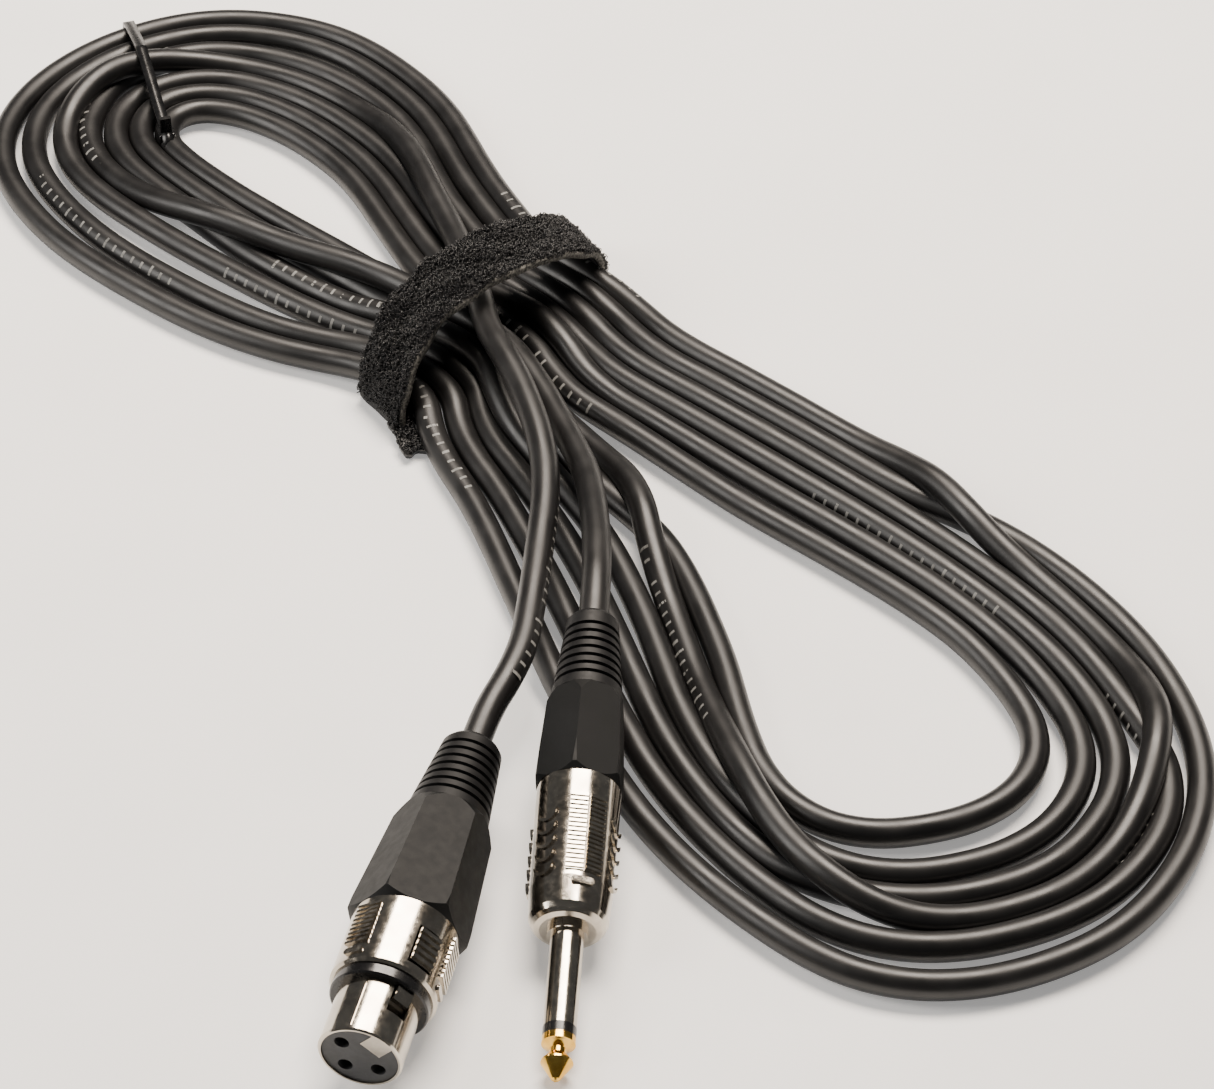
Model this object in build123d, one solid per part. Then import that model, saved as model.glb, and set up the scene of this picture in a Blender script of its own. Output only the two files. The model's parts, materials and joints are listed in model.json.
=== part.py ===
"""Microphone cable wound as a two-lobed hank, with a female three-pole connector on one
end and a 6.35 mm jack plug on the other.  Millimetres, +Z up, resting on Z = 0, +X along
the hank from its small lobe to its large one."""
from build123d import *
import math
import os

os.makedirs("parts", exist_ok=True)

# ---------------------------------------------------------------- driving dimensions
CORD_R = 3.0                    # jacket radius of the cable
HANK_HEIGHT = 7.5               # lobes lie about one turn deep
WAIST_AT = (-34.5, 46.0)        # middle of the gathered stretch that the strap goes round
WAIST_TURN = 13.6               # degrees that the strap leans from straight across
WAIST_REACH = (-12.0, 11.2)     # along the hank from its middle
STRAP_REACH = (-8.0, 8.0)       # hook-and-loop strap, 16 mm wide
STRAP_HALF = (33.5, 23.0)       # half width and height of the strap's arch
STRAP_THICK = 1.6
STRAP_LIFT = 0.1                # underside of the strap above the floor
GAP = 0.3                       # clearance between soft pieces
CENTRE_SHIFT = (0.46, 0.70, 0)  # puts the origin under the middle of the whole object

TAIL_AT = (-15.3, 12.6)         # loose end of the strap, beside its near foot
TAIL_SIZE = (11.0, 6.0, 2.0)

TIE_FROM = (-185.5, 39.5)       # outer and inner side of the cable tie's loop
TIE_TO = (-139.0, 23.5)
TIE_TOP = 10.5
TIE_WIDTH = 2.6
TIE_THICK = 1.1

# female three-pole connector: distances run back from its nose face
NOSE_AT = (132.8, -93.1, 10.0)
XLR_HEADING = -48.8             # degrees from +X, seen from above
XLR_DIP = 2.1                   # degrees nose down
NOSE_R = 7.95
NOSE_BORE_R = 7.25
SHOULDER_S = 14.5               # nose meets the wider body here
BODY_R = 10.3
BODY_BORE_R = 8.8
BODY_END_S = 30.0
SOCKET_CIRCLE_R = 4.4           # the three contacts stand on this radius
SOCKET_BORE_R = 1.22            # takes a 2.4 mm pin
SOCKET_MOUTH_R = 1.42           # holes in the insert's face
CUP_BORE_R = 1.0                # solder cup behind each contact
WIRE_R = 0.75                   # insulated cores; the bare drain is thinner
DRAIN_R = 0.5
LATCH_AT = 48.0                 # degrees round the connector, from the side towards the top
PIVOT_S = 26.5
PIVOT_R = 5.7                   # radial place of the latch pivot
PIN_R = 0.6
PIN_CLEARANCE = 0.06
CHANNEL_HALF = 2.65             # half width of the latch channel in the insert
CHANNEL_FLOOR = 3.2
XLR_END_S = 77.5

# jack plug: distances run back from the end of its tip
TIP_AT = (152.4, -64.0, 2.8)
JACK_HEADING = -38.6
JACK_DIP = 8.56
SHAFT_R = 3.175
RING_S = 9.0                    # insulating ring starts behind the tip
SLEEVE_S = 11.0
BARREL_S = 32.2
BARREL_END_S = 64.0
JACK_PAD_AT = 72.0              # degrees round the plug to its thumb pad
JACK_END_S = 106.0

# footprint of the hank and of the openings in its two lobes
OUTLINE = [(-23, 19), (-49, 3), (-75, -6), (-103, -14), (-129, -17), (-151, -13), (-169, -1), (-180, 17),
           (-183, 37), (-177, 57), (-163, 70), (-143, 76), (-114, 78), (-79, 75), (-40, 73),
           (-9, 79), (39, 90), (83, 96), (116, 97), (141, 94), (161, 85), (177, 69), (185, 49),
           (185, 29), (179, 8), (164, -7), (140, -17), (111, -19), (76, -11), (41, -1), (9, 11)]
SMALL_HOLE = [(-139, 21), (-112, 26), (-88, 33), (-60, 41), (-72, 47), (-96, 51), (-120, 46),
              (-141, 33)]
LARGE_HOLE = [(30, 47), (56, 42), (78, 31), (97, 19), (116, 15), (132, 21), (141, 36),
              (141, 51), (130, 62), (107, 66), (80, 63), (54, 56)]


# ---------------------------------------------------------------- helpers
def export(name, part):
    part = Pos(*CENTRE_SHIFT) * part
    part.label = name
    export_step(part, f"parts/{name}.step")


def axis_plane(at, heading, dip):
    """Local frame of a connector: +Z out of its nose, +X to its side, +Y upwards."""
    h, d = math.radians(heading), math.radians(dip)
    nose = Vector(math.cos(h) * math.cos(d), math.sin(h) * math.cos(d), -math.sin(d))
    side = Vector(0, 0, 1).cross(nose)
    return Plane(origin=at, x_dir=side, z_dir=nose)


XLR = axis_plane(NOSE_AT, XLR_HEADING, XLR_DIP)
JACK = axis_plane(TIP_AT, JACK_HEADING, JACK_DIP)


def behind(frame, s):
    """Point on a connector's axis, s millimetres behind its nose."""
    return frame.origin - frame.z_dir * s


def turned(*profile):
    """Solid of revolution from (distance back, radius) corners."""
    outline = Polyline(*[(r, -s) for s, r in profile], close=True)
    return revolve(make_face(Plane.XZ * outline), Axis.Z)


def rod(s0, s1, r, x=0.0, y=0.0):
    return Pos(x, y, -(s0 + s1) / 2) * Cylinder(r, s1 - s0)


def block(angle, r0, r1, half, s0, s1):
    """Box between two radii and two distances back, turned round the axis."""
    size = Box(r1 - r0, 2 * half, s1 - s0)
    return Rot(0, 0, angle) * Pos((r0 + r1) / 2, 0, -(s0 + s1) / 2) * size


def corner_radii(points, closed=False):
    """As large an arc at each corner as its two runs allow."""
    pts = [Vector(*p) for p in points]
    count = len(pts)
    corners = range(count) if closed else range(1, count - 1)
    radii = []
    for i in corners:
        before = pts[i] - pts[i - 1]
        after = pts[(i + 1) % count] - pts[i]
        half_turn = math.radians(before.get_angle(after)) / 2
        radii.append(0.45 * min(before.length, after.length) / math.tan(half_turn))
    return radii


def loop_face(points):
    """Face inside a closed route of straight runs and tangent arcs."""
    return make_face(FilletPolyline(*points, radius=corner_radii(points, closed=True), close=True))


def tube(points, r):
    """Round cord along straight runs joined by tangent arcs."""
    radii = corner_radii(points)
    path = FilletPolyline(*points, radius=radii)
    swept = sweep(Plane(origin=path @ 0, z_dir=path % 0) * Circle(r), path=path)
    expected = math.pi * r * r * path.length
    print(f"tube r {r}: length {path.length:.1f}, volume ratio {swept.volume / expected:.4f}, "
          f"radii {[round(v, 1) for v in radii]}")
    return swept


# ---------------------------------------------------------------- hank, strap and tie
def arch(half_width, height, bottom):
    """Half ellipse over a flat bottom, drawn across the hank."""
    upper = Ellipse(half_width, height) & Pos(0, (height + bottom) / 2) * Rectangle(
        2 * half_width, height - bottom)
    return Plane(origin=(0, 0, 0), x_dir=(0, 1, 0), z_dir=(1, 0, 0)) * upper


def at_waist(profile, reach):
    """Profile drawn out along the hank at the waist, leaning as the strap does."""
    drawn = Pos(reach[0], 0, 0) * extrude(profile, reach[1] - reach[0])
    return Pos(*WAIST_AT, 0) * Rot(0, 0, WAIST_TURN) * drawn


def strap():
    w, h = STRAP_HALF
    outer = arch(w, h, STRAP_LIFT)
    inner = arch(w - STRAP_THICK, h - STRAP_THICK, STRAP_LIFT + STRAP_THICK)
    band = at_waist(outer - inner, STRAP_REACH)
    tail = Pos(*TAIL_AT, STRAP_LIFT + TAIL_SIZE[2] / 2) * Rot(0, 0, -12) * Box(*TAIL_SIZE)
    return band + (tail - at_waist(arch(w, h, STRAP_LIFT - 1), STRAP_REACH))


def tie_plane():
    run = Vector(*TIE_TO) - Vector(*TIE_FROM)
    middle = (Vector(*TIE_TO) + Vector(*TIE_FROM)) / 2
    side = run.cross(Vector(0, 0, 1))
    return Plane(origin=middle, x_dir=run, z_dir=side), run.length


def tie_loop(grow):
    """Solid slab of the tie's outer or inner shape, grown by a clearance."""
    frame, length = tie_plane()
    height = TIE_TOP - 0.2 + 2 * grow
    face = frame * Pos(0, TIE_TOP / 2 + 0.1) * RectangleRounded(
        length + 2 * grow, height, 3.0 + grow)
    return extrude(face, (TIE_WIDTH + 2 * abs(grow)) / 2, both=True)


def tie_band():
    return tie_loop(0) - tie_loop(-TIE_THICK)


def tie_head():
    frame, length = tie_plane()
    box = Box(4.6, 4.4, 4.0)
    box = fillet(box.edges(), 0.6)
    slot_end = Pos(0.6, 4.0, 0) * Box(1.2, 4.2, TIE_WIDTH)
    return frame.location * Pos(length / 2 + 2.35, 4.6, 0) * (box + slot_end)


def hank():
    plan = loop_face(OUTLINE) - loop_face(SMALL_HOLE) - loop_face(LARGE_HOLE)
    lobes = extrude(plan, HANK_HEIGHT)
    gap = at_waist(Plane.YZ * Rectangle(200, 60), WAIST_REACH)
    w, h = STRAP_HALF
    rim = STRAP_THICK + 0.2
    waist = at_waist(arch(w - rim, h - rim, STRAP_LIFT + rim), WAIST_REACH)
    solid = (lobes - gap) + waist
    solid -= tie_loop(GAP) - tie_loop(-TIE_THICK - GAP)
    tie_frame, length = tie_plane()
    solid -= tie_frame.location * Pos(length / 2 + 2.6, 5, 0) * Box(6.5, 14, 6)
    bed = turned((55, 0), (55, 9.6), (84, 9.3), (110, 7.6), (110, 0))
    return solid - JACK.location * bed


# ---------------------------------------------------------------- free leads
def xlr_route():
    return [behind(XLR, XLR_END_S), behind(XLR, XLR_END_S + 11), (66.5, -13.5, 13.8),
            (54.5, -2.5, 14.4), (42, 8, 15.3), (31, 17, 16.2), (20.5, 23.5, 17.2),
            (8.5, 28.5, 17.8), (-5, 33, 17.8), (-21, 37, 17.3)]


def jack_route():
    return [behind(JACK, JACK_END_S), behind(JACK, JACK_END_S + 9), (53, 14.5, 18.9),
            (41, 22, 17.2), (28, 29, 14.6), (13, 34, 12.4), (-3, 38.5, 11.5),
            (-22, 41.2, 11.4)]


# ---------------------------------------------------------------- three-pole connector
def xlr_shell():
    body = turned((0, NOSE_BORE_R), (0, 7.6), (0.35, NOSE_R), (SHOULDER_S, NOSE_R),
                  (SHOULDER_S, 9.7), (15.1, 10.2), (BODY_END_S, BODY_R), (BODY_END_S, 8.6),
                  (37, 8.6), (37, 7.75), (28.5, 7.75), (28.5, BODY_BORE_R),
                  (16.2, BODY_BORE_R), (16.2, NOSE_BORE_R))
    key = block(LATCH_AT, 2.85, 7.4, 2.3, 0.35, 5.5)
    window = block(LATCH_AT, 6.5, 8.6, 2.1, 6.4, 12.2)
    button_hole = block(LATCH_AT, 8.0, 11.5, 2.65, 16.6, 25.2)
    slit = block(100, NOSE_R - 0.25, 8.5, 0.15, 1.0, 12.0)
    body = body + key - window - button_hole - slit
    for angle in (124, 4, 244):
        for i in range(9):
            s = 18.9 + 1.1 * i
            body += block(angle, 10.0, BODY_R + 0.3, 2.6, s, s + 0.6)
        dot = extrude(SlotOverall(4.2, 1.4), 0.6)
        body += Rot(0, 0, angle) * Pos(9.9, 0, -17.0) * Rot(0, 90, 0) * Rot(0, 0, 90) * dot
    return body


def xlr_ring():
    return turned((12.2, NOSE_R), (12.2, 9.1), (12.5, 9.4), (SHOULDER_S, 9.4),
                  (SHOULDER_S, NOSE_R))


def socket_place(index):
    angle = math.radians(LATCH_AT + 90 * (index + 1))
    return SOCKET_CIRCLE_R * math.cos(angle), SOCKET_CIRCLE_R * math.sin(angle)


def xlr_insert():
    body = turned((0.4, 0), (0.4, 7.2), (16.25, 7.2), (16.25, 8.7), (18, 8.7), (18, 0))
    body -= block(LATCH_AT, CHANNEL_FLOOR, 10, CHANNEL_HALF, 5.5, 19)
    body -= block(LATCH_AT, 2.8, 10, 2.35, 0, 5.6)
    for side in (-1, 1):
        ear = Box(7.3 - CHANNEL_FLOOR, 1.2, 10.4)
        at = Pos((7.3 + CHANNEL_FLOOR) / 2, side * (CHANNEL_HALF + 0.6), -23.2)
        body += Rot(0, 0, LATCH_AT) * at * ear
    body -= latch_pivot_rod(PIN_R, 12)
    for i in range(3):
        x, y = socket_place(i)
        body -= rod(0, 4, SOCKET_MOUTH_R, x, y)
        body -= rod(3, 19, 1.68, x, y)
    return body


def xlr_contact(index):
    x, y = socket_place(index)
    outward = math.degrees(math.atan2(y, x))
    body = rod(3.1, 23, 1.65, x, y) - rod(3, 15.5, SOCKET_BORE_R, x, y)
    body -= rod(19, 24, CUP_BORE_R, x, y)
    return body - block(outward, SOCKET_CIRCLE_R + 0.2, 8, 2, 19.5, 24)


def latch_pivot_rod(r, length):
    place = Rot(0, 0, LATCH_AT) * Pos(PIVOT_R, 0, -PIVOT_S) * Rot(90, 0, 0)
    return place * Cylinder(r, length)


def xlr_latch():
    lever = block(LATCH_AT, 5.0, 6.4, 2.1, 8.8, PIVOT_S) + latch_pivot_rod(1.3, 4.2)
    hook = Polyline((6.3, -12.0), (8.5, -12.0), (8.5, -10.2), (7.9, -9.2), (6.3, -9.2), close=True)
    hook = extrude(make_face(Plane.XZ * hook), 1.75, both=True)
    button = block(0, 6.3, 10.4, 2.4, 17.0, 24.8)
    for i in range(5):
        s = 17.5 + 1.5 * i
        button += block(0, 10.3, 10.9, 2.4, s, s + 0.8)
    lever += Rot(0, 0, LATCH_AT) * (hook + button)
    return lever - latch_pivot_rod(PIN_R + PIN_CLEARANCE, 12)


def xlr_latch_spring():
    strip = Polyline((3.22, -17.6), (3.22, -14.0), (4.76, -10.4), (4.92, -10.5), (3.42, -14.1),
                     (3.42, -17.6), close=True)
    return Rot(0, 0, LATCH_AT) * extrude(make_face(Plane.XZ * strip), 1.3, both=True)


def xlr_chuck():
    body = turned((31, 3.0), (31, 7.3), (38, 7.3), (44, 5.5), (44, 3.0))
    for angle in (0, 60, 120):
        body -= Rot(0, 0, angle) * Pos(0, 0, -41) * Box(20, 1.0, 8)
    return body


def hex_bushing(front_r, rear_r, angle, envelope, cavity):
    """Tapered six-sided moulding with turned ends and a turned cavity."""
    s0, s1 = envelope[0][0], envelope[-1][0]
    front = Rot(0, 0, angle) * Pos(0, 0, -s0) * RegularPolygon(front_r, 6)
    rear = Rot(0, 0, angle) * Pos(0, 0, -s1) * RegularPolygon(rear_r, 6)
    prism = loft([rear, front])
    return (prism & turned((s0, 0), *envelope, (s1, 0))) - turned(*cavity)


def relief(s0, s1, r0, r1, first, pitch, bore):
    """Tapered strain relief with seven ring grooves."""
    def radius(s):
        return r0 + (r1 - r0) * (s - s0) / (s1 - s0)
    profile = [(s0, bore), (s0, r0)]
    for i in range(7):
        s = first + pitch * i
        depth = 0.75
        profile += [(s, radius(s)), (s + 0.15, radius(s) - depth),
                    (s + 0.75, radius(s) - depth), (s + 0.9, radius(s + 0.9))]
    profile += [(s1 - 1.2, radius(s1 - 1.2)), (s1 - 0.3, r1 - 0.5), (s1, r1 - 1.2), (s1, bore)]
    return turned(*profile)


def xlr_bushing():
    envelope = [(BODY_END_S, 10.3), (31.4, 11.7), (52.5, 11.4), (58, 8.4)]
    cavity = [(29, 0), (29, 8.65), (37.4, 8.65), (38, 7.5), (44.2, 5.7), (46, 3.05), (59, 3.05),
              (59, 0)]
    return hex_bushing(12.0, 9.6, 107, envelope, cavity)


def xlr_wires():
    """Two insulated cores and the bare drain, from the jacket's end to the solder cups."""
    names = ("xlr_drain_wire", "xlr_core_red", "xlr_core_white")
    radii = (DRAIN_R, WIRE_R, WIRE_R)
    wires = {}
    for i in range(3):
        x, y = socket_place(i)
        near = 0.36
        points = [(x * near, y * near, -33.0), (x * near, y * near, -30.5), (x * 0.7, y * 0.7, -27),
                  (x * 0.97, y * 0.97, -23.8), (x, y, -20.2)]
        wires[names[i]] = tube(points, radii[i])
    return wires


# ---------------------------------------------------------------- jack plug
def jack_tip():
    return turned((0, 0), (0, 0.45), (0.3, 0.85), (3.6, 3.05), (4.0, 3.0), (5.6, 1.6), (6.6, 1.6),
                  (7.4, 2.8), (7.6, SHAFT_R), (RING_S, SHAFT_R), (RING_S, 1.1), (41, 1.1), (41, 0))


def jack_insulator():
    return turned((RING_S, 1.1), (RING_S, SHAFT_R), (SLEEVE_S, SHAFT_R), (SLEEVE_S, 2.3),
                  (38.5, 2.3), (38.5, 1.1))


def jack_sleeve():
    return turned((SLEEVE_S, 2.3), (SLEEVE_S, SHAFT_R), (31.0, SHAFT_R), (31.0, 3.9),
                  (33.2, 3.9), (33.2, 6.9), (35.5, 6.9), (35.5, 4.5), (38.5, 4.5), (38.5, 2.3))


def jack_barrel():
    body = turned((BARREL_S, 3.9), (BARREL_S, 5.4), (32.6, 6.4), (33.3, 7.1), (34.4, 7.6),
                  (40, 7.95), (58, 8.15), (BARREL_END_S, 8.15), (BARREL_END_S, 7.0), (33.2, 7.0),
                  (33.2, 3.9))
    for pad_at in (JACK_PAD_AT, JACK_PAD_AT + 180):
        for column in (-13.0, 13.0):
            body += block(pad_at + column, 7.6, 8.25, 1.65, 41.0, 58.6)
            for i in range(17):
                s = 41.3 + 1.02 * i
                body += block(pad_at + column, 8.1, 8.55, 1.65, s, s + 0.55)
        dot = extrude(SlotOverall(4.4, 1.5), 0.6)
        body += Rot(0, 0, pad_at) * Pos(7.75, 0, -38.8) * Rot(0, 90, 0) * Rot(0, 0, 90) * dot
        for side in (-57, 57):
            for i in range(5):
                body += gill(pad_at + side, 42.6 + 3.1 * i)
    return body


def gill(angle, s):
    """One raised crescent of the finger grip."""
    ring = Circle(2.3) - Pos(0, -0.85) * Circle(2.45)
    crescent = extrude(ring, 0.95)
    return Rot(0, 0, angle) * Pos(7.45, 0, -s) * Rot(0, 90, 0) * Rot(0, 0, 90) * crescent


def jack_washer():
    return turned((38.5, 1.1), (38.5, 4.4), (39.4, 4.4), (39.4, 1.1))


def jack_tip_lug():
    plate = turned((39.4, 1.1), (39.4, 3.0), (40.0, 3.0), (40.0, 1.1))
    return plate + block(90, 2.0, 2.6, 1.3, 39.5, 46)


def jack_ground_clamp():
    """Earth lug under the sleeve's shoulder, with two ears crimped round the jacket."""
    strip = block(270, 4.5, 5.2, 2.0, 35.5, 62.0)
    cup = turned((58.5, CORD_R), (58.5, 3.7), (62, 3.7), (62, CORD_R))
    cup -= block(90, 0, 5, 0.7, 58, 63)
    return strip + cup + block(270, 3.3, 4.9, 1.4, 58.5, 62)


def jack_liner():
    return turned((40.5, 6.1), (40.5, 6.7), (55.5, 6.7), (55.5, 6.1))


def jack_bushing():
    envelope = [(BARREL_END_S, 8.3), (65.2, 9.1), (81.5, 8.8), (86, 7.3)]
    cavity = [(63, 0), (63, 5.7), (68, 5.7), (70, 3.05), (87, 3.05), (87, 0)]
    spigot = turned((56, 5.7), (56, 6.9), (64.5, 6.9), (64.5, 5.7))
    return hex_bushing(9.4, 8.1, 95, envelope, cavity) + spigot


def jack_core():
    """Insulated signal core, from the jacket's end to the tip's solder lug."""
    return tube([(0, 0.8, -57.0), (0, 0.9, -54.2), (0, 1.6, -50.8), (0, 2.2, -48.4),
                 (0, 2.3, -46.0)], 0.7)


def main():
    export("cable_hank", hank())
    export("xlr_lead", tube(xlr_route(), CORD_R))
    export("jack_lead", tube(jack_route(), CORD_R))
    export("cable_strap", strap())
    export("tie_band", tie_band())
    export("tie_head", tie_head())

    xlr = {
        "xlr_shell": xlr_shell(), "xlr_shoulder_ring": xlr_ring(), "xlr_insert": xlr_insert(),
        "xlr_latch": xlr_latch(), "xlr_latch_pin": latch_pivot_rod(PIN_R, 7.7),
        "xlr_latch_spring": xlr_latch_spring(), "xlr_chuck": xlr_chuck(),
        "xlr_bushing": xlr_bushing(),
        "xlr_strain_relief": relief(58, XLR_END_S, 8.2, 5.9, 60.0, 2.25, 3.05),
        "xlr_cable_end": rod(33, XLR_END_S, CORD_R),
    }
    for i in range(3):
        xlr[f"xlr_contact_{i + 1}"] = xlr_contact(i)
    xlr.update(xlr_wires())
    for name, part in xlr.items():
        export(name, XLR.location * part)

    jack = {
        "jack_tip": jack_tip(), "jack_insulator": jack_insulator(), "jack_sleeve": jack_sleeve(),
        "jack_barrel": jack_barrel(), "jack_washer": jack_washer(),
        "jack_tip_lug": jack_tip_lug(), "jack_ground_clamp": jack_ground_clamp(),
        "jack_liner": jack_liner(), "jack_bushing": jack_bushing(),
        "jack_strain_relief": relief(86, JACK_END_S, 7.1, 5.1, 88.2, 2.15, 3.05),
        "jack_cable_end": rod(57, JACK_END_S, CORD_R), "jack_core": jack_core(),
    }
    for name, part in jack.items():
        export(name, JACK.location * part)


main()
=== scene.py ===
import json
import math

import bpy
import numpy as np
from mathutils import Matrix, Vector

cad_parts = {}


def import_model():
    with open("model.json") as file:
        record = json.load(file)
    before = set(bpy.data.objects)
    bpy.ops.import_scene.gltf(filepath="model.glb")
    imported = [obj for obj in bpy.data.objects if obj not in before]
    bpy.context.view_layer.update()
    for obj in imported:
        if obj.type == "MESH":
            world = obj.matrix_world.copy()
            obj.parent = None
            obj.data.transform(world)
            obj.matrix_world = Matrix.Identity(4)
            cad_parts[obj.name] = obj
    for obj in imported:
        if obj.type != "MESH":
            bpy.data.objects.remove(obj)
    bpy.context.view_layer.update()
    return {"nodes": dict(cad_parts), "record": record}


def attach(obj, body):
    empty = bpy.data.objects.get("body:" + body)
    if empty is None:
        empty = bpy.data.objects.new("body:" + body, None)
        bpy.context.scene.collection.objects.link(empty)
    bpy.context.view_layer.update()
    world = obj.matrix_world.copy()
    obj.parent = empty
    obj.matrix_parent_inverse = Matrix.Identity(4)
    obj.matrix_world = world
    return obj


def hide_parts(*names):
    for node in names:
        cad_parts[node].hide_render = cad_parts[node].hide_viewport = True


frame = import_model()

# Lengths below are millimetres in the CAD's own drawing frame; SHIFT moves them to the row frame.
MM = 0.001
SHIFT = np.array((0.46, 0.70, 0.0))

# ---------------------------------------------------------------- sizes shared with the CAD
CORD_R = 3.0
WAIST_AT = np.array((-34.5, 46.0))
WAIST_TURN = math.radians(13.6)
STRAP_REACH = (-8.0, 8.0)
STRAP_HALF = (33.5, 23.0)
STRAP_THICK = 1.6
XLR_AT, XLR_HEADING, XLR_DIP, XLR_END = (132.8, -93.1, 10.0), -48.8, 2.1, 77.5
JACK_AT, JACK_HEADING, JACK_DIP, JACK_END = (152.4, -64.0, 2.8), -38.6, 8.56, 106.0
TAIL_AT, TAIL_TURN, TAIL_SIZE = (-15.3, 12.6), math.radians(-12), (11.0, 6.0)
TIE_FROM, TIE_TO, TIE_WIDTH, TIE_THICK = (-185.5, 39.5), (-139.0, 23.5), 2.6, 1.1


def row(points):
    """Metres in the row frame from millimetres in the drawing frame."""
    return (np.asarray(points, float) + SHIFT) * MM


def turned(middle, turn, along, across):
    """Plan point that lies so far along and across from a middle, on axes turned to the left."""
    x = middle[0] + along * math.cos(turn) - across * math.sin(turn)
    y = middle[1] + along * math.sin(turn) + across * math.cos(turn)
    return x, y


def nose_direction(heading, dip):
    h, d = math.radians(heading), math.radians(dip)
    return np.array((math.cos(h) * math.cos(d), math.sin(h) * math.cos(d), -math.sin(d)))


XLR_NOSE = nose_direction(XLR_HEADING, XLR_DIP)
JACK_NOSE = nose_direction(JACK_HEADING, JACK_DIP)


def behind(at, nose, s):
    """Point on a connector's axis, s millimetres behind its nose."""
    return tuple(np.array(at) - nose * s)


# ---------------------------------------------------------------- material helpers
def linear(hex_colour, alpha=1.0):
    """Linear colour from an sRGB hex colour."""
    parts = [int(hex_colour[i:i + 2], 16) / 255 for i in (1, 3, 5)]
    return (*[c / 12.92 if c <= 0.04045 else ((c + 0.055) / 1.055) ** 2.4 for c in parts], alpha)


def node(tree, kind, inputs=None, **settings):
    """Adds one shader node; an input may be a value or another node's output."""
    made = tree.nodes.new("ShaderNode" + kind)
    for name, value in settings.items():
        setattr(made, name, value)
    for key, value in (inputs or {}).items():
        if isinstance(value, bpy.types.NodeSocket):
            tree.links.new(value, made.inputs[key])
        else:
            made.inputs[key].default_value = value
    return made


def material(name, **sockets):
    """A material whose shader sockets hold the given plain values."""
    made = bpy.data.materials.new(name)
    made.use_nodes = True
    shader = made.node_tree.nodes["Principled BSDF"]
    for socket, value in sockets.items():
        shader.inputs[socket.replace("_", " ")].default_value = value
    return made, made.node_tree, shader


def noise(tree, size_mm, detail=2.0):
    """Noise whose blobs are about size_mm across on the piece itself."""
    place = node(tree, "TexCoord").outputs["Object"]
    made = node(tree, "TexNoise", {"Vector": place, "Scale": 1 / (size_mm * MM), "Detail": detail})
    return made.outputs["Fac"]


def spread(tree, value, low, high, start=0.3, end=0.7):
    """Stretches a 0 to 1 pattern to run from low to high."""
    made = node(tree, "MapRange", {"Value": value, "From Min": start, "From Max": end,
                                   "To Min": low, "To Max": high})
    return made.outputs["Result"]


def tint(tree, value, first, second):
    """Colour that goes from the first to the second hex colour as a pattern goes from 0 to 1."""
    made = node(tree, "Mix", {"Factor": value, 6: linear(first), 7: linear(second)},
                data_type="RGBA")
    return made.outputs[2]


def bump(tree, shader, height, depth_mm):
    """Relief that is depth_mm deep where a pattern goes from 0 to 1."""
    made = node(tree, "Bump", {"Height": height, "Distance": depth_mm * MM, "Strength": 1.0})
    tree.links.new(made.outputs["Normal"], shader.inputs["Normal"])


def moulded(name, dark, light, rough, grain_mm, grain_depth_mm, patch_mm=6.0, **sockets):
    """A moulded or plated surface: patchy tone and polish over a fine grain."""
    made, tree, shader = material(name, **sockets)
    patches = noise(tree, patch_mm, 4.0)
    tree.links.new(tint(tree, spread(tree, patches, 0, 1), dark, light), shader.inputs["Base Color"])
    worn = noise(tree, patch_mm / 4, 3.0)
    tree.links.new(spread(tree, worn, rough[0], rough[1]), shader.inputs["Roughness"])
    bump(tree, shader, noise(tree, grain_mm, 3.0), grain_depth_mm)
    return made


# ---------------------------------------------------------------- materials
def jacket():
    """Soft black skin with a satin gloss that comes and goes along the cable."""
    made, tree, shader = material("extruded black PVC jacket", IOR=1.5)
    tone = noise(tree, 30.0, 3.0)
    base = tint(tree, spread(tree, tone, 0, 1), "#0c0c0d", "#151414")
    tree.links.new(base, shader.inputs["Base Color"])
    tree.links.new(spread(tree, noise(tree, 7.0, 4.0), 0.33, 0.46), shader.inputs["Roughness"])
    bump(tree, shader, noise(tree, 0.35, 3.0), 0.012)
    return made


def strap_cloth():
    """Dull black cloth whose cut edge shows as a thin line of paler thread ends."""
    made, tree, shader = material("woven hook-and-loop backing, black nylon", Roughness=0.85)
    weave = tint(tree, spread(tree, noise(tree, 1.2, 3.0), 0, 1), "#0b0b0c", "#1a1a1b")
    place = node(tree, "TexCoord").outputs["Object"]
    reach = node(tree, "Attribute", attribute_name="reach").outputs["Fac"]
    cut = spread(tree, reach, 0, 1, 0.97, 0.99)
    frayed = node(tree, "Math", {0: cut, 1: spread(tree, noise(tree, 0.6, 2.0), 0, 1)},
                  operation="MULTIPLY").outputs[0]
    blend = node(tree, "Mix", {"Factor": frayed, 6: weave, 7: linear("#77756f")}, data_type="RGBA")
    tree.links.new(blend.outputs[2], shader.inputs["Base Color"])
    bump(tree, shader, noise(tree, 0.5, 3.0), 0.15)
    return made


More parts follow.
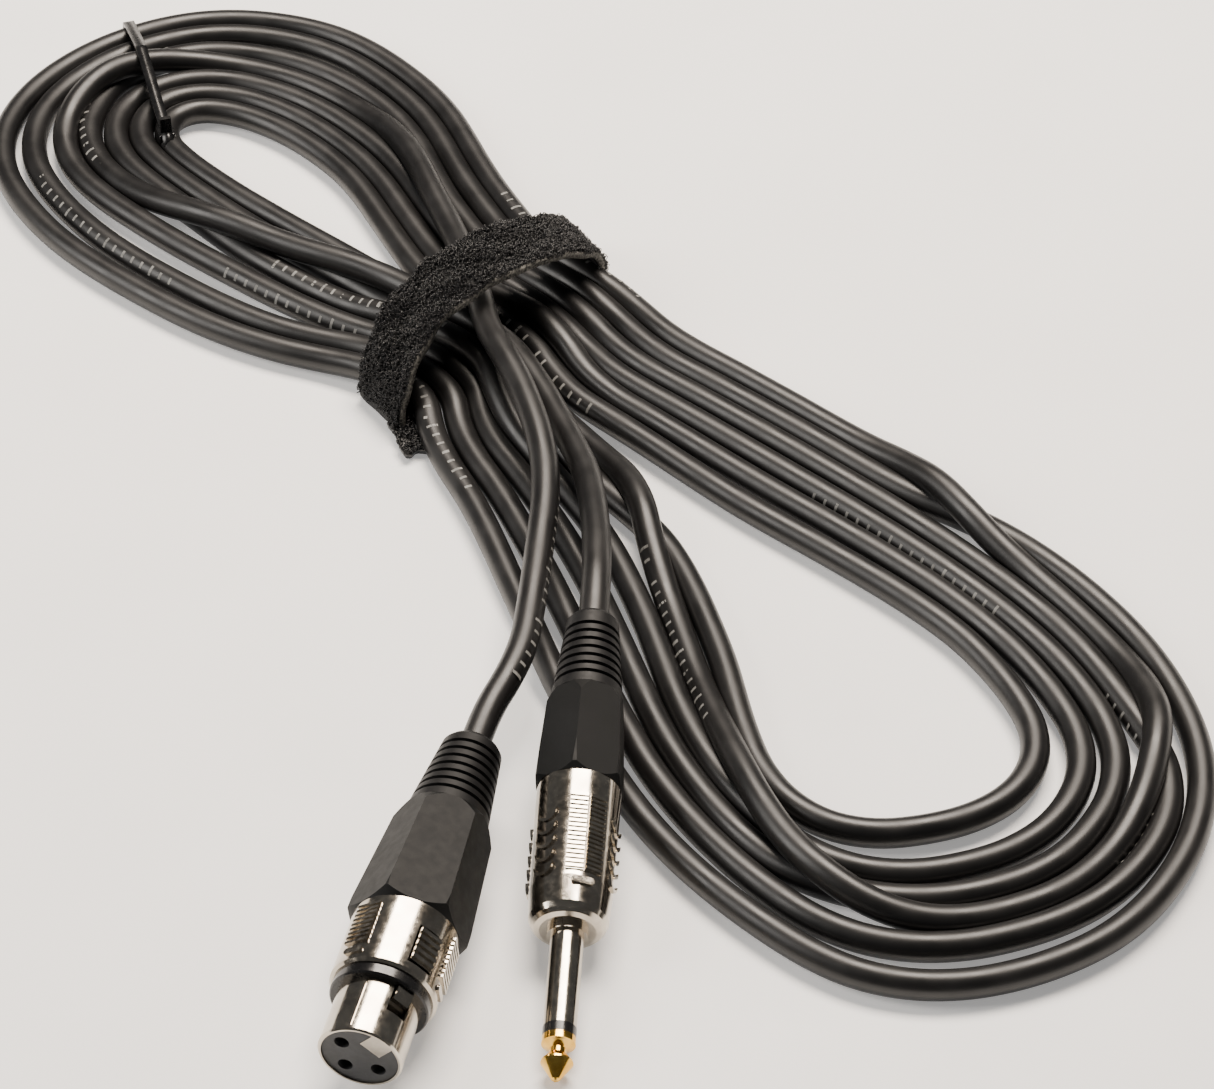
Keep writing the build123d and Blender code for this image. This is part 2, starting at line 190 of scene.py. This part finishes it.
MATERIALS = {
    "jacket": jacket(),
    "hook_loop": strap_cloth(),
    # Black loops, each with its own small glint, so the strap sparkles.
    "yarn": moulded("looped nylon yarn, black", "#0b0b0c", "#242426", (0.24, 0.40), 0.4, 0.004,
                    1.2),
    # Grey marks of uneven strength.
    "print_ink": moulded("rubbed grey printing ink", "#5f5f5d", "#8f8f8c", (0.5, 0.65), 0.3, 0.004,
                         1.5),
    # Shiny black tie with sharp highlights.
    "nylon": moulded("injection-moulded nylon, glossy black", "#0c0c0d", "#161617",
                     (0.22, 0.34), 0.6, 0.004),
    # Warm bright metal, faintly grainy from the casting beneath.
    "nickel": moulded("nickel plate over die-cast zinc", "#a9a093", "#cfc7b9",
                      (0.10, 0.20), 0.35, 0.006, 5.0, Metallic=1.0),
    # Deep gloss black between two bright metals.
    "ring_plastic": moulded("gloss black moulded ring", "#0d0d0e", "#171718",
                            (0.18, 0.30), 0.8, 0.004),
    # Dull dark grey face round the contact holes.
    "insert_plastic": moulded("glass-filled insert, dark grey", "#2b2c2e", "#3a3b3d",
                              (0.50, 0.64), 0.25, 0.012, 3.0),
    # Dull yellow metal deep in the holes.
    "contact_metal": moulded("tarnished brass contact", "#8a7444", "#b59a60",
                             (0.28, 0.42), 0.3, 0.005, 2.0, Metallic=1.0),
    # Plain grey metal on the small working parts.
    "steel": moulded("plain turned steel", "#8b8c8e", "#b0b1b3", (0.25, 0.38), 0.2, 0.004, 3.0,
                     Metallic=1.0),
    # Dull black, hidden when the bushing is on.
    "chuck_plastic": moulded("moulded clamp, matt black", "#151516", "#212122",
                             (0.5, 0.62), 0.3, 0.01),
    # Near-black with a fine even grain and almost no gloss.
    "boot_plastic": moulded("spark-eroded black moulding", "#0a0b0b", "#101112",
                            (0.50, 0.58), 0.28, 0.012, 8.0, Specular_IOR_Level=0.2),
    # Soft black, a little glossier than the bushing.
    "relief_rubber": moulded("soft moulded rubber, black", "#0c0c0d", "#131314",
                             (0.46, 0.56), 0.4, 0.012, 5.0, Specular_IOR_Level=0.25),
    # Clear red under a thin gloss.
    "wire_red": moulded("extruded red insulation", "#8f1210", "#b01c18", (0.3, 0.42), 0.4, 0.004),
    # Off-white under a thin gloss.
    "wire_white": moulded("extruded white insulation", "#cfcfc8", "#e4e4de", (0.3, 0.42), 0.4, 0.004),
    # Reddish metal, as uneven as bare strands.
    "wire_copper": moulded("bare stranded copper", "#a8643c", "#c98457", (0.28, 0.40), 0.25, 0.02,
                           2.0, Metallic=1.0),
    # Rich yellow mirror on the plug's tip.
    "gilt": moulded("gold flash over turned brass", "#d9a441", "#f0c765", (0.12, 0.22), 0.35,
                    0.003, 3.0, Metallic=1.0),
    # Dry red-brown board.
    "washer_fibre": moulded("pressed fibre washer", "#5a2a1c", "#6e3826", (0.7, 0.85), 0.3, 0.02),
    # Milky sleeve without much shine.
    "liner_plastic": moulded("thin moulded liner, off-white", "#c9c7ba", "#dcdacf", (0.4, 0.55),
                             0.4, 0.006),
}


# ---------------------------------------------------------------- plain meshes
def mesh_piece(name, points, faces, finish, smooth=True):
    data = bpy.data.meshes.new(name)
    data.from_pydata([tuple(p) for p in points], [], [tuple(f) for f in faces])
    data.update()
    data.polygons.foreach_set("use_smooth", [smooth] * len(data.polygons))
    data.materials.append(finish)
    made = bpy.data.objects.new(name, data)
    bpy.context.scene.collection.objects.link(made)
    return made


def grid_faces(rows, columns, closed=False):
    """Quads over a grid of rows by columns; closed joins the last row to the first."""
    last = rows if closed else rows - 1
    return [(r * columns + c, r * columns + c + 1, (r + 1) % rows * columns + c + 1,
             (r + 1) % rows * columns + c) for r in range(last) for c in range(columns - 1)]


# ---------------------------------------------------------------- the cable
# Centre lines of the outermost and innermost turn in each lobe, walked round from the strap.
SMALL_OUT = [(-58, 69.5), (-82, 73), (-117, 82), (-150, 79), (-173, 60), (-180, 33), (-172.5, 5),
             (-153, -13), (-121, -17), (-85, -9), (-60, 2)]
SMALL_IN = [(-60, 49), (-76, 52), (-100, 55), (-124, 50), (-142, 40), (-147, 28), (-138, 19),
            (-120, 21), (-94, 28), (-76, 33), (-60, 37)]
LARGE_OUT = [(-6, 17.5), (14, 12), (44, 2), (78, -8), (112, -13.5), (142, -11), (165, -3),
             (179, 15), (183.5, 42), (176, 67), (161, 85), (140, 95), (111, 98.5), (78, 96),
             (40, 89.5), (12, 82), (-8, 76)]
LARGE_IN = [(-8, 41), (10, 42), (34, 43), (56, 37.5), (76, 28), (94, 16.5), (116, 11.5),
            (134, 18), (144.5, 38), (143, 54), (132, 65), (108, 69.5), (88, 67.5), (66, 62.5),
            (44, 57), (14, 52), (-8, 48.5)]
# Each turn's lane (0 outermost) and height where it enters the lobe, at its tip and where it leaves.
SMALL_LANES = [(4.6, 2.9, 3), (4.1, 4.2, 4), (5.2, 5, 5), (6, 6, 6), (0, 0.1, 0), (1, 1, 1.2),
               (2.1, 2.7, 5.4)]
SMALL_HIGH = [(13, 8, 3), (3, 3, 3), (8, 8, 8), (3, 3, 3), (3, 3, 3), (8, 8, 8), (3, 5, 10)]
LARGE_LANES = [(2, 2.4, 3), (3, 3.5, 4), (4, 5, 5), (5, 1.8, 0.1), (0, 0, 1), (1, 1.2, 2)]
LARGE_HIGH = [(3, 3, 8), (8, 3, 3), (3, 3, 3), (8, 9, 6), (3, 3, 3), (8, 3, 3)]
# Across from the strap's middle, and up, for each pass under the strap.
LOWER_WAIST = [(-14.1, 4.9), (-11.0, 10.2), (-8.0, 4.9), (-1.8, 4.9), (-26.5, 4.9), (-20.3, 4.9)]
UPPER_WAIST = [(10.5, 4.9), (7, 10.5), (4.3, 4.9), (26.8, 4.9), (22.8, 4.9), (17, 4.9)]
WAIST_PASS = 10.5                # a pass is straight over this length each side of the middle
XLR_LEAD = [behind(XLR_AT, XLR_NOSE, XLR_END), behind(XLR_AT, XLR_NOSE, XLR_END + 11),
            (66.5, -13.5, 13.8), (54.5, -2.5, 14.4), (42, 8, 15.3), (31, 17, 16.2),
            (20.5, 23.5, 17.2), (8.5, 28.5, 17.8), (-5, 33, 17.8), (-21, 37, 17.3),
            (-42, 47, 14.0)]
JACK_LEAD = [(-42, 38.5, 10.5), (-22, 41.2, 11.4), (-3, 38.5, 11.5), (13, 34, 12.4), (28, 29, 14.6),
             (41, 22, 17.2), (53, 14.5, 18.9), behind(JACK_AT, JACK_NOSE, JACK_END + 9),
             behind(JACK_AT, JACK_NOSE, JACK_END)]
STEP = 5.0                       # spacing of the points that the cable settles by
TOUCH = 2 * CORD_R + 0.12        # centre distance of two turns that touch
HELD_START, HELD_END = 122, 96   # the free leads keep their places over these lengths
SETTLING_ROUNDS = 240


def lane(outer, inner, lanes, heights, last):
    """One turn through a lobe, between its outermost and innermost centre lines."""
    along = np.linspace(0, 1, len(outer))[:, None]
    stations = np.linspace(0, 1, 3)
    share = np.interp(along, stations, lanes) / last
    plan = np.array(outer) * (1 - share) + np.array(inner) * share
    return [tuple(p) for p in np.hstack([plan, np.interp(along, stations, heights)])]


def waist_pass(across, up, start):
    """Straight pass under the strap, walked from the side where along is start."""
    return [(*turned(WAIST_AT, WAIST_TURN, along, across), up) for along in (start, -start)]


def cable_route():
    """From the three-pole connector, seven times round the small lobe and six round the large."""
    points = list(XLR_LEAD)
    for turn in range(7):
        points += lane(SMALL_OUT, SMALL_IN, SMALL_LANES[turn], SMALL_HIGH[turn], 6)
        if turn < 6:
            points += waist_pass(*LOWER_WAIST[turn], -WAIST_PASS)
            points += lane(LARGE_OUT, LARGE_IN, LARGE_LANES[turn], LARGE_HIGH[turn], 5)
            points += waist_pass(*UPPER_WAIST[turn], WAIST_PASS)
    return np.array(points + JACK_LEAD)


def evenly(path, step):
    """The same path with points a step apart."""
    gone = np.r_[0, np.cumsum(np.linalg.norm(np.diff(path, axis=0), axis=1))]
    places = np.linspace(0, gone[-1], round(gone[-1] / step) + 1)
    return np.stack([np.interp(places, gone, path[:, k]) for k in range(3)], 1)


def smoothly(points):
    """A smooth curve through the points."""
    ends = np.vstack([2 * points[0] - points[1], points, 2 * points[-1] - points[-2]])
    parts = []
    for a, b, c, d in zip(ends[:-3], ends[1:-2], ends[2:-1], ends[3:]):
        t = np.linspace(0, 1, max(2, int(np.linalg.norm(c - b) / 2)), endpoint=False)[:, None]
        cubic = 2 * a - 5 * b + 4 * c - d + t * (3 * (b - c) + d - a)
        parts.append(b + 0.5 * t * (c - a + t * cubic))
    return evenly(np.vstack(parts + [points[-1:]]), STEP)


def bow(path):
    """How far each point stands off the middle of its neighbours."""
    off = np.zeros_like(path)
    off[1:-1] = (path[:-2] + path[2:]) / 2 - path[1:-1]
    return off


def keep_off(path, at, nose, stations, radii, free):
    """Pushes the cable out of a connector that lies on it."""
    back = (np.array(at) - path) @ nose
    out = path - at + back[:, None] * nose
    near = np.linalg.norm(out, axis=1) + 1e-9
    need = np.interp(back, stations, radii, left=0, right=0)
    push = np.where(free & (need > near), 0.5 * (need - near) / near, 0)
    return path + out * push[:, None]


def part_turns(path, pairs, free):
    """Moves touching stretches of cable apart by half their overlap each."""
    first, second = pairs
    gap = path[first] - path[second]
    apart = np.linalg.norm(gap, axis=1) + 1e-9
    hit = apart < TOUCH
    i, j = first[hit], second[hit]
    push = gap[hit] * ((TOUCH - apart[hit]) / apart[hit])[:, None]
    push /= np.maximum(free[i].astype(float) + free[j], 1)[:, None]
    total, count = np.zeros_like(path), np.zeros(len(path))
    np.add.at(total, i, push * free[i][:, None])
    np.add.at(total, j, -push * free[j][:, None])
    np.add.at(count, i, 1)
    np.add.at(count, j, 1)
    return path + 1.25 * total / np.maximum(count, 1)[:, None]


def tuck_under_strap(path, free):
    """Draws the cable in under the strap's arch, and says which points are there."""
    along, across = turned((0, 0), -WAIST_TURN, *(path[:, :2] - WAIST_AT).T)
    inside = free & (along > STRAP_REACH[0] - 2) & (along < STRAP_REACH[1] + 3)
    half = STRAP_HALF[0] - STRAP_THICK - CORD_R
    rise = STRAP_HALF[1] - STRAP_THICK - CORD_R
    out = np.hypot(across / half, path[:, 2] / rise)
    shrink = np.where(inside & (out > 1), 1 / np.maximum(out, 1), 1)
    path[:, 0], path[:, 1] = turned(WAIST_AT, WAIST_TURN, along, across * shrink)
    path[:, 2] *= shrink
    return path, inside


def settle(path, rounds):
    """Lets the turns sink, stiffly, until they lie on the floor and on each other."""
    home, count = path.copy(), len(path)
    gone = np.arange(count) * STEP
    free = (gone > HELD_START) & (gone < gone[-1] - HELD_END)
    own = bow(home) * (1, 1, 0)
    first, second = np.triu_indices(count, k=8)
    path = path.copy()
    for turn in range(rounds):
        path[free, 2] -= 0.1
        path[free, :2] += (home - path)[free, :2] * (0.004 + 0.03 * (1 - turn / rounds))
        for _ in range(3):
            off = bow(path) - own
            stiff = off[2:-2] - 0.25 * off[1:-3] - 0.25 * off[3:-1]
            path[2:-2] += free[2:-2, None] * 0.33 * stiff
        if turn % 4 == 0:
            gap = path[first] - path[second]
            close = (gap * gap).sum(1) < (TOUCH + STEP) ** 2
            pairs = first[close], second[close]
        path = part_turns(part_turns(path, pairs, free), pairs, free)
        path, inside = tuck_under_strap(path, free)
        path = keep_off(path, JACK_AT, JACK_NOSE, (28, 34, 64, 86, 108),
                        (6.5, 11.6, 12.1, 10.8, 8.4), free)
        path = keep_off(path, XLR_AT, XLR_NOSE, (-2, 0, 30, 60, 80), (10, 11.5, 14.6, 13, 9.5), free)
        floor = np.where(inside, STRAP_THICK + 0.2 + CORD_R, CORD_R)
        path[:, 2] = np.where(free, np.maximum(path[:, 2], floor), path[:, 2])
    return path


def curve_piece(name, points, radius, finish):
    """One open smooth tube through points given in metres."""
    data = bpy.data.curves.new(name, "CURVE")
    data.dimensions = "3D"
    data.resolution_u = 5
    data.bevel_resolution = 8
    spline = data.splines.new("NURBS")
    spline.points.add(len(points) - 1)
    for point, place in zip(spline.points, points):
        point.co = (*place, 1)
    spline.order_u = 3
    spline.use_endpoint_u = True
    data.bevel_depth = radius
    data.materials.append(finish)
    made = bpy.data.objects.new(name, data)
    bpy.context.scene.collection.objects.link(made)
    return made


settled = settle(smoothly(cable_route()), SETTLING_ROUNDS)
thinned = np.vstack([settled[:-1:2], settled[-1:]])
cable = curve_piece("microphone_cable", row(thinned), CORD_R * MM, MATERIALS["jacket"])
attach(cable, "coil")
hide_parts("cable_hank", "xlr_lead", "jack_lead")

# ---------------------------------------------------------------- length marks on the jacket
def on_cable(control, places):
    """Points on the cable's centre line and its direction there; places count control points."""
    i = np.clip(places.astype(int), 1, len(control) - 2)
    t = (places - i + 0.5)[:, None]
    a, b, c = control[i - 1], control[i], control[i + 1]
    at = 0.5 * (1 - t) ** 2 * a + (0.5 + t * (1 - t)) * b + 0.5 * t * t * c
    ahead = (1 - t) * (b - a) + t * (c - b)
    return at, ahead / np.linalg.norm(ahead, axis=1)[:, None]


def length_marks(control):
    """Printed ticks in groups along the jacket, every fifth one longer; they carry no words."""
    pitch, group, gap = 3.0, 18, 105
    count = int((len(control) - 4) * 2 * STEP / pitch)
    ticks = np.arange(count)
    ticks = ticks[ticks % (group + gap) < group]
    reach = np.where(ticks % (group + gap) % 5 == 0, 1.25, 0.8)
    points, faces = [], []
    for side in (-0.32, 0.32):
        places = 2 + (ticks * pitch + side) / (2 * STEP)
        at, ahead = on_cable(control, places)
        up = np.array((0, 0, 1.0)) - ahead * ahead[:, 2:]
        up /= np.linalg.norm(up, axis=1)[:, None]
        across = np.cross(ahead, up)
        turn = 0.5 + 1.1 * np.sin(places / 19.0) + 0.7 * np.sin(places / 7.3)
        for m in np.linspace(-1, 1, 4):
            angle = (turn + m * reach / CORD_R)[:, None]
            points.append(at + (CORD_R + 0.02) * (up * np.cos(angle) + across * np.sin(angle)))
    points = np.stack(points, 1).reshape(-1, 3)
    for tick in range(len(ticks)):
        first = tick * 8
        faces += [(first + m, first + m + 1, first + m + 5, first + m + 4) for m in range(3)]
    return mesh_piece("jacket_length_marks", row(points), faces, MATERIALS["print_ink"])


marks = length_marks(thinned)
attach(marks, "coil")

# ---------------------------------------------------------------- strap and tie
ARCH_SHARE = 0.58                # share of the strap's way round that is the arch
STRAP_LEAN = 0.09                # how far the strap leans per millimetre across the hank
STRAP_TWIST = 5.5                # its feet swing further out than that
STRAP_BACK = 0.8                 # it sits this much nearer than the middle of its waist
STRAP_LOOPS, TAIL_LOOPS = ((11000, 420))


def strap_middle(turn, along):
    """Middle of the strap's thickness; turn runs 0 to 1 from the near foot over and back under."""
    turn, along = np.broadcast_arrays(np.asarray(turn, float), np.asarray(along, float))
    half = STRAP_HALF[0] - STRAP_THICK / 2
    rise = STRAP_HALF[1] - STRAP_THICK / 2 - 0.5
    angle = math.pi * np.minimum(turn / ARCH_SHARE, 1)
    back = np.clip((turn - ARCH_SHARE) / (1 - ARCH_SHARE), 0, 1)
    over = turn < ARCH_SHARE
    across = np.where(over, -half * np.cos(angle), half * (1 - 2 * back))
    z = np.where(over, rise * np.maximum(np.sin(angle), 0) ** 0.85, 0)
    ripple = 0.35 * np.sin(31 * turn + 0.4 * along) + 0.25 * np.sin(67 * turn - 0.7 * along)
    edge = 0.5 * np.sin(19 * turn) + 0.25 * np.sin(83 * turn + along)
    x = WAIST_AT[0] + along + edge - STRAP_LEAN * across - STRAP_TWIST * (across / half) ** 3
    y = WAIST_AT[1] - STRAP_BACK + across
    foot = STRAP_THICK / 2 + 0.2
    return np.stack([x, y, foot + z + np.where(over, ripple, 0)], -1)


def tail_middle(along, across):
    """The strap's loose end, which shows beside its near foot."""
    along, across = np.broadcast_arrays(np.asarray(along, float), np.asarray(across, float))
    reach = (along - 0.5) * (TAIL_SIZE[0] + 1.2 * np.sin(9 * across))
    side = (across - 0.5) * TAIL_SIZE[1]
    x, y = turned(TAIL_AT, TAIL_TURN, reach, side + 0.3 * np.sin(6 * along))
    return np.stack([x, y, 1.15 + 0.35 * np.sin(3 * along) + 0.15 * np.sin(7 * across)], -1)


def surface_piece(name, points, closed, finish, thick):
    """A sheet through a grid of middle points, thickened evenly."""
    rows, columns = points.shape[:2]
    made = mesh_piece(name, row(points.reshape(-1, 3)), grid_faces(rows, columns, closed), finish)
    reach = made.data.attributes.new("reach", "FLOAT", "POINT")
    reach.data.foreach_set("value", np.tile(np.linspace(0, 1, columns), rows))
    shell = made.modifiers.new("thickness", "SOLIDIFY")
    shell.thickness = thick * MM
    shell.offset = 0
    return made


def pile(name, surface, reach, count, outward):
    """Many small loops of yarn that stand out of a sheet."""
    pick = np.random.default_rng(count)
    u, v = pick.uniform(*reach[0], count), pick.uniform(*reach[1], count)
    root = surface(u, v)
    along_u = surface(u + 0.004, v) - root
    along_v = surface(u, v + 0.02) - root
    up = np.cross(along_u, along_v)
    up *= outward / np.linalg.norm(up, axis=1)[:, None]
    turn = pick.uniform(0, 2 * math.pi, count)[:, None]
    side = along_u / np.linalg.norm(along_u, axis=1)[:, None]
    third = np.cross(up, side)
    lean = side * np.cos(turn) + third * np.sin(turn)
    normal_to_loop = np.cross(lean, up)
    height = pick.uniform(0.35, 1.05, count)[:, None]
    width = pick.uniform(0.25, 0.6, count)[:, None]
    tip = pick.normal(0, 0.22, (count, 3))
    steps, yarn = 6, 0.105
    points = np.zeros((count, steps, 3, 3))
    for k in range(steps):
        bend = math.pi * k / (steps - 1)
        middle = root + up * (STRAP_THICK / 2 - 0.1 + height * math.sin(bend))
        middle = middle + lean * width * math.cos(bend) + tip * math.sin(bend)
        out = up * math.sin(bend) + lean * math.cos(bend)
        for m in range(3):
            spin = 2 * math.pi * m / 3
            points[:, k, m] = middle + yarn * (out * math.cos(spin) + normal_to_loop * math.sin(spin))
    points = np.maximum(points.reshape(-1, 3), (-np.inf, -np.inf, 0.05))
    corner = np.arange(steps - 1)[:, None] * 3 + np.arange(3)
    after = np.arange(steps - 1)[:, None] * 3 + (np.arange(3) + 1) % 3
    quads = np.stack([corner, after, after + 3, corner + 3], -1).reshape(-1, 4)
    faces = (quads[None] + np.arange(count)[:, None, None] * steps * 3).reshape(-1, 4)
    return mesh_piece(name, row(points), faces.tolist(), MATERIALS["yarn"])


turns = np.arange(160)[:, None] / 160
strap = surface_piece("hook_and_loop_strap", strap_middle(turns, np.linspace(*STRAP_REACH, 16)),
                      True, MATERIALS["hook_loop"], STRAP_THICK)
tail = surface_piece("strap_loose_end", tail_middle(np.linspace(0, 1, 12)[:, None],
                                                    np.linspace(0, 1, 10)), False,
                     MATERIALS["yarn"], STRAP_THICK)
loops = pile("strap_pile", strap_middle, ((0.01, 0.57), STRAP_REACH), STRAP_LOOPS, -1)
tail_loops = pile("loose_end_pile", tail_middle, ((0.1, 1), (0, 1)), TAIL_LOOPS, 1)
for piece in (strap, tail, loops, tail_loops):
    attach(piece, "coil")
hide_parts("cable_strap")


def crossings(path, at, across):
    """Where the cable passes through an upright plane: (along the plane, up)."""
    normal = np.array((-across[1], across[0], 0))
    side = (path - at) @ normal
    found = []
    for i in np.nonzero(side[:-1] * side[1:] < 0)[0]:
        share = side[i] / (side[i] - side[i + 1])
        place = path[i] + share * (path[i + 1] - path[i])
        found.append(((place - at) @ np.array((*across, 0)), place[2]))
    return np.array(found)


def tie_piece():
    """A flat band drawn snugly round the turns that pass through the tie's loop."""
    start, end = np.array(TIE_FROM), np.array(TIE_TO)
    across = (end - start) / np.linalg.norm(end - start)
    at = np.array((*start, 0))
    spots = crossings(settled, at, across)
    spots = spots[(spots[:, 0] > -6) & (spots[:, 0] < np.linalg.norm(end - start) + 4)]
    rows, columns = 96, 2
    points = []
    for angle in np.linspace(0, 2 * math.pi, rows, endpoint=False):
        out = np.array((math.cos(angle), math.sin(angle)))
        spot = spots[np.argmax(spots @ out)] + out * (CORD_R + TIE_THICK / 2)
        for side in (-0.5, 0.5):
            offset = side * TIE_WIDTH
            plan = start + across * spot[0] + np.array((-across[1], across[0])) * offset
            points.append((*plan, max(spot[1], TIE_THICK / 2)))
    return surface_piece("cable_tie_band", np.reshape(points, (rows, columns, 3)), True,
                         MATERIALS["nylon"], TIE_THICK)


tie = tie_piece()
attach(tie, "coil")
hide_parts("tie_band")

# ---------------------------------------------------------------- CAD pieces that show as they are
slots = {s["node"]: s["material_slot"] for s in frame["record"]["subparts"]}
for name, piece in frame["nodes"].items():
    piece.data.materials.clear()
    piece.data.materials.append(MATERIALS[slots[name]])


# ---------------------------------------------------------------- floor, light and camera
FLOOR_DROP = 0.2 * MM            # keeps the table clear of the piece that rests on it


def floor():
    made = mesh_piece("pale_table", [(-3, -3, 0), (3, -3, 0), (3, 3, 0), (-3, 3, 0)], [(0, 1, 2, 3)],
                      moulded("pale matt table", "#f4f3f1", "#faf9f7", (0.6, 0.8), 2.0, 0.01, 60.0,
                              Emission_Color=linear("#fffdfb"), Emission_Strength=0.3))
    made.location.z = -FLOOR_DROP


def area_light(name, place, target, size, power, colour):
    data = bpy.data.lights.new(name, "AREA")
    data.shape, data.size, data.size_y = "RECTANGLE", size[0], size[1]
    data.energy, data.color = power, linear(colour)[:3]
    made = bpy.data.objects.new(name, data)
    made.location = place
    made.rotation_euler = (Vector(target) - Vector(place)).to_track_quat("-Z", "Y").to_euler()
    bpy.context.scene.collection.objects.link(made)


def camera():
    data = bpy.data.cameras.new("camera")
    data.lens, data.sensor_width = 112.7, 36.0
    made = bpy.data.objects.new("camera", data)
    made.location = (0.5230, -0.3111, 0.5342)
    made.rotation_euler = (math.radians(48), 0, math.radians(55))
    bpy.context.scene.collection.objects.link(made)
    bpy.context.scene.camera = made


def world():
    made = bpy.data.worlds.new("studio")
    made.use_nodes = True
    made.node_tree.nodes["Background"].inputs["Color"].default_value = linear("#f4f5f7")
    made.node_tree.nodes["Background"].inputs["Strength"].default_value = 0.10
    bpy.context.scene.world = made


floor()
area_light("overhead softbox", (-0.35, 0.45, 1.15), (0, 0.03, 0), (0.9, 0.5), 42, "#fff2e4")
area_light("left softbox", (-0.55, -0.95, 0.75), (0, 0, 0), (0.5, 0.8), 13, "#fffaf4")
camera()
world()
